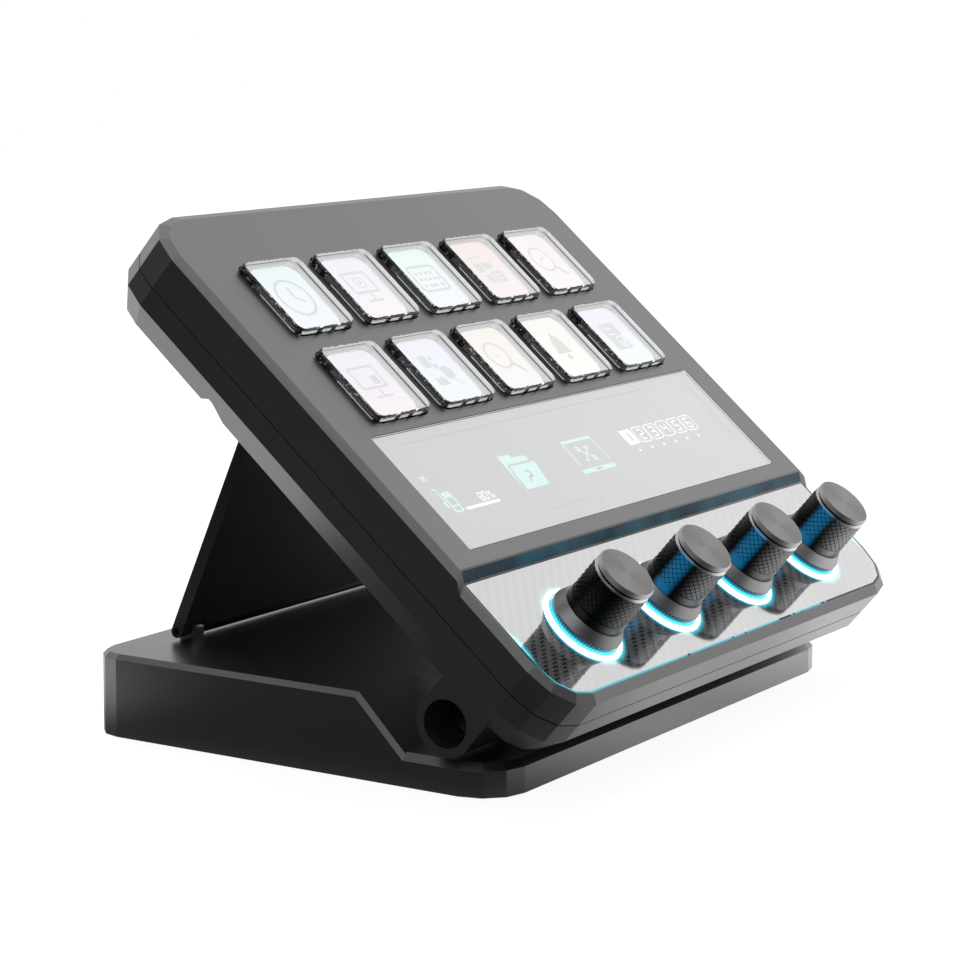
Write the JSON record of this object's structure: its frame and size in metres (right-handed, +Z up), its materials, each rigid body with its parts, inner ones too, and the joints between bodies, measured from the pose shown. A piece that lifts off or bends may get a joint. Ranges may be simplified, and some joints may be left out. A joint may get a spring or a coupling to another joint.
{
  "type": "macro keypad",
  "caption": "Desk keypad: clear display keys, a strip screen and push-and-turn knobs in a tilted unit, hinged to a low base and held up by a folding prop plate.",
  "frame": {"origin": "middle of the grip mat's underside, on the desk", "axes": "+X to the right, +Y to the rear, +Z up"},
  "size_m": [0.1422, 0.1144, 0.1029],
  "materials": {
    "base_black": "satin",
    "rubber_black": "matte",
    "screw_steel": "blackened",
    "prop_grey": "satin",
    "shell_grey": "satin dark grey",
    "shell_black": "satin",
    "panel_carbon": "gloss over carbon weave",
    "guide_cyan": "lit",
    "bar_teal": "translucent",
    "screen_glass": "polished",
    "display_grey": "display",
    "board_green": "solder mask",
    "socket_steel": "satin",
    "ring_cyan": "lit",
    "encoder_steel": "satin",
    "plunger_black": "matte",
    "shaft_steel": "satin",
    "knob_grey": "anodised dark",
    "knob_cap": "brushed",
    "cap_clear": "clear acrylic"
  },
  "bodies": {
    "base": {"base_housing": "base_black", "base_cover": "base_black", "grip_mat": "rubber_black", "base_screws": "screw_steel", "hinge_pin_left": "screw_steel", "hinge_pin_right": "screw_steel", "prop_pin": "screw_steel"},
    "prop": {"prop_plate": "prop_grey"},
    "unit": {"top_shell": "shell_grey", "bottom_shell": "shell_black", "knob_panel": "panel_carbon", "panel_light_guide": "guide_cyan", "step_light_bar": "bar_teal", "screen_glass": "screen_glass", "screen_display": "display_grey", "key_display": "display_grey", "key_mat": "rubber_black", "main_board": "board_green", "knob_board": "board_green", "usb_socket": "socket_steel", "shell_screws": "screw_steel", "board_screws": "screw_steel", "light_ring_1": "ring_cyan", "light_ring_2": "ring_cyan", "light_ring_3": "ring_cyan", "light_ring_4": "ring_cyan", "encoder_1": "encoder_steel", "encoder_2": "encoder_steel", "encoder_3": "encoder_steel", "encoder_4": "encoder_steel"},
    "key_1": {"key_cap_1": "cap_clear"},
    "key_2": {"key_cap_2": "cap_clear"},
    "key_3": {"key_cap_3": "cap_clear"},
    "key_4": {"key_cap_4": "cap_clear"},
    "key_5": {"key_cap_5": "cap_clear"},
    "key_6": {"key_cap_6": "cap_clear"},
    "key_7": {"key_cap_7": "cap_clear"},
    "key_8": {"key_cap_8": "cap_clear"},
    "key_9": {"key_cap_9": "cap_clear"},
    "key_10": {"key_cap_10": "cap_clear"},
    "plunger_1": {"encoder_plunger_1": "plunger_black"},
    "knob_1": {"encoder_shaft_1": "shaft_steel", "knob_skirt_1": "knob_grey", "knob_sleeve_1": "knob_grey", "knob_cap_1": "knob_cap"},
    "plunger_2": {"encoder_plunger_2": "plunger_black"},
    "knob_2": {"encoder_shaft_2": "shaft_steel", "knob_skirt_2": "knob_grey", "knob_sleeve_2": "knob_grey", "knob_cap_2": "knob_cap"},
    "plunger_3": {"encoder_plunger_3": "plunger_black"},
    "knob_3": {"encoder_shaft_3": "shaft_steel", "knob_skirt_3": "knob_grey", "knob_sleeve_3": "knob_grey", "knob_cap_3": "knob_cap"},
    "plunger_4": {"encoder_plunger_4": "plunger_black"},
    "knob_4": {"encoder_shaft_4": "shaft_steel", "knob_skirt_4": "knob_grey", "knob_sleeve_4": "knob_grey", "knob_cap_4": "knob_cap"}
  },
  "joints": [
    {"name": "unit_tilt", "type": "hinge", "parent": "base", "child": "unit", "pos_m": [0, -0.03534, 0.0137], "axis": [1, 0, 0], "range_deg": [0, 15]},
    {"name": "prop_fold", "type": "hinge", "parent": "base", "child": "prop", "pos_m": [0, 0.04066, 0.0186], "axis": [1, 0, 0], "range_deg": [0, 66.4]},
    {"name": "key_1_press", "type": "slide", "parent": "unit", "child": "key_1", "axis": [0, -0.6481, 0.7615], "range_m": [-0.0008, 0], "stiffness_N_per_m": 500, "springref_m": 0.0004},
    {"name": "key_2_press", "type": "slide", "parent": "unit", "child": "key_2", "axis": [0, -0.6481, 0.7615], "range_m": [-0.0008, 0], "stiffness_N_per_m": 500, "springref_m": 0.0004},
    {"name": "key_3_press", "type": "slide", "parent": "unit", "child": "key_3", "axis": [0, -0.6481, 0.7615], "range_m": [-0.0008, 0], "stiffness_N_per_m": 500, "springref_m": 0.0004},
    {"name": "key_4_press", "type": "slide", "parent": "unit", "child": "key_4", "axis": [0, -0.6481, 0.7615], "range_m": [-0.0008, 0], "stiffness_N_per_m": 500, "springref_m": 0.0004},
    {"name": "key_5_press", "type": "slide", "parent": "unit", "child": "key_5", "axis": [0, -0.6481, 0.7615], "range_m": [-0.0008, 0], "stiffness_N_per_m": 500, "springref_m": 0.0004},
    {"name": "key_6_press", "type": "slide", "parent": "unit", "child": "key_6", "axis": [0, -0.6481, 0.7615], "range_m": [-0.0008, 0], "stiffness_N_per_m": 500, "springref_m": 0.0004},
    {"name": "key_7_press", "type": "slide", "parent": "unit", "child": "key_7", "axis": [0, -0.6481, 0.7615], "range_m": [-0.0008, 0], "stiffness_N_per_m": 500, "springref_m": 0.0004},
    {"name": "key_8_press", "type": "slide", "parent": "unit", "child": "key_8", "axis": [0, -0.6481, 0.7615], "range_m": [-0.0008, 0], "stiffness_N_per_m": 500, "springref_m": 0.0004},
    {"name": "key_9_press", "type": "slide", "parent": "unit", "child": "key_9", "axis": [0, -0.6481, 0.7615], "range_m": [-0.0008, 0], "stiffness_N_per_m": 500, "springref_m": 0.0004},
    {"name": "key_10_press", "type": "slide", "parent": "unit", "child": "key_10", "axis": [0, -0.6481, 0.7615], "range_m": [-0.0008, 0], "stiffness_N_per_m": 500, "springref_m": 0.0004},
    {"name": "knob_1_push", "type": "slide", "parent": "unit", "child": "plunger_1", "axis": [0, -0.6481, 0.7615], "range_m": [-0.0005, 0], "stiffness_N_per_m": 2000, "springref_m": 0.0003},
    {"name": "knob_1_turn", "type": "hinge", "parent": "plunger_1", "child": "knob_1", "pos_m": [-0.04632, -0.05204, 0.0313], "axis": [0, -0.6481, 0.7615], "continuous": true},
    {"name": "knob_2_push", "type": "slide", "parent": "unit", "child": "plunger_2", "axis": [0, -0.6481, 0.7615], "range_m": [-0.0005, 0], "stiffness_N_per_m": 2000, "springref_m": 0.0003},
    {"name": "knob_2_turn", "type": "hinge", "parent": "plunger_2", "child": "knob_2", "pos_m": [-0.01544, -0.05204, 0.0313], "axis": [0, -0.6481, 0.7615], "continuous": true},
    {"name": "knob_3_push", "type": "slide", "parent": "unit", "child": "plunger_3", "axis": [0, -0.6481, 0.7615], "range_m": [-0.0005, 0], "stiffness_N_per_m": 2000, "springref_m": 0.0003},
    {"name": "knob_3_turn", "type": "hinge", "parent": "plunger_3", "child": "knob_3", "pos_m": [0.01544, -0.05204, 0.0313], "axis": [0, -0.6481, 0.7615], "continuous": true},
    {"name": "knob_4_push", "type": "slide", "parent": "unit", "child": "plunger_4", "axis": [0, -0.6481, 0.7615], "range_m": [-0.0005, 0], "stiffness_N_per_m": 2000, "springref_m": 0.0003},
    {"name": "knob_4_turn", "type": "hinge", "parent": "plunger_4", "child": "knob_4", "pos_m": [0.04632, -0.05204, 0.0313], "axis": [0, -0.6481, 0.7615], "continuous": true}
  ]
}
